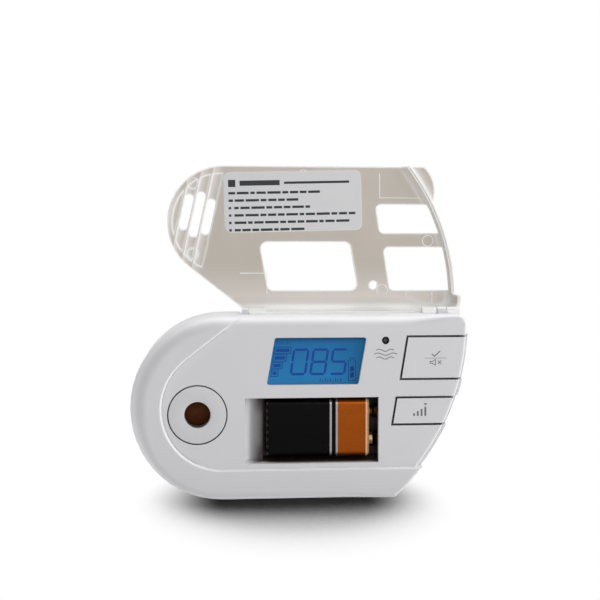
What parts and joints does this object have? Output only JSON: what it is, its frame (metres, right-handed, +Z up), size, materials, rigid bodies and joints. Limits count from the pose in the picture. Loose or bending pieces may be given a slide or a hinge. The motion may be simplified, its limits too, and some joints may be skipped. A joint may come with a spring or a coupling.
{
  "type": "carbon monoxide detector",
  "caption": "Wall-hung carbon monoxide and gas alarm with a hinged clear cover over its display, buttons, horn and block battery.",
  "frame": {"origin": "on the flat wall face of the rear cover, at the height of the left round end's centre", "axes": "+Z up, +Y into the wall, X along the alarm to the right; the display faces -Y"},
  "size_m": [0.1526, 0.042, 0.151],
  "materials": {
    "white_plastic": "smooth white moulded plastic, satin",
    "button_plastic": "smooth white moulded plastic, satin",
    "translucent_plastic": "milky translucent plastic, lightly textured",
    "black_plastic": "black moulded plastic",
    "steel": "plain plated steel",
    "brass": "plain spring brass",
    "elastomer": "grey conductive rubber",
    "lcd_blue": "lit blue display glass",
    "light_guide": "clear light guide",
    "lamp_lens": "dark tinted lamp lens",
    "battery_jacket": "printed steel jacket with copper and silver bands",
    "label_paper": "blank paper label",
    "board_green": "green solder mask",
    "ceramic": "fired ceramic",
    "capacitor_sleeve": "dark printed sleeve",
    "module_blue": "potted module"
  },
  "bodies": {
    "housing": {"front_shell": "white_plastic", "rear_cover": "white_plastic", "hinge_pin_left": "steel", "hinge_pin_right": "steel", "lcd_glass": "lcd_blue", "lcd_backlight": "light_guide", "lcd_contact_low": "elastomer", "lcd_contact_high": "elastomer", "lcd_holder": "white_plastic", "status_led": "lamp_lens", "led_spacer": "black_plastic", "test_switch": "black_plastic", "peak_switch": "black_plastic", "horn_cap": "white_plastic", "horn_chamber": "black_plastic", "horn_spacer": "black_plastic", "piezo_disc": "brass", "piezo_ceramic": "ceramic", "battery_contact_positive": "brass", "battery_contact_negative": "brass", "circuit_board": "board_green", "co_sensor": "steel", "gas_sensor": "steel", "capacitor_1": "capacitor_sleeve", "capacitor_2": "capacitor_sleeve", "microcontroller": "black_plastic", "power_module": "module_blue", "power_inlet": "black_plastic", "case_screw_1": "steel", "board_screw_1": "steel", "case_screw_2": "steel", "board_screw_2": "steel", "case_screw_3": "steel", "board_screw_3": "steel", "case_screw_4": "steel", "board_screw_4": "steel"},
    "cover": {"cover": "translucent_plastic", "cover_label": "label_paper"},
    "test_button": {"test_button": "button_plastic"},
    "peak_button": {"peak_button": "button_plastic"},
    "battery": {"battery_case": "battery_jacket", "battery_base_plate": "black_plastic", "battery_terminal_plate": "black_plastic", "battery_positive_terminal": "steel", "battery_negative_terminal": "steel"}
  },
  "joints": [
    {"name": "cover_hinge", "type": "hinge", "parent": "housing", "child": "cover", "pos_m": [0, -0.022, 0.0415], "axis": [1, 0, 0], "range_deg": [0, 180]},
    {"name": "test_button_press", "type": "slide", "parent": "housing", "child": "test_button", "axis": [0, 1, 0], "range_m": [0, 0.0008], "stiffness_N_per_m": 600, "springref_m": -0.0005},
    {"name": "peak_button_press", "type": "slide", "parent": "housing", "child": "peak_button", "axis": [0, 1, 0], "range_m": [0, 0.0008], "stiffness_N_per_m": 600, "springref_m": -0.0005},
    {"name": "battery_lift", "type": "slide", "parent": "housing", "child": "battery", "axis": [0, -1, 0], "range_m": [0, 0.032]}
  ]
}
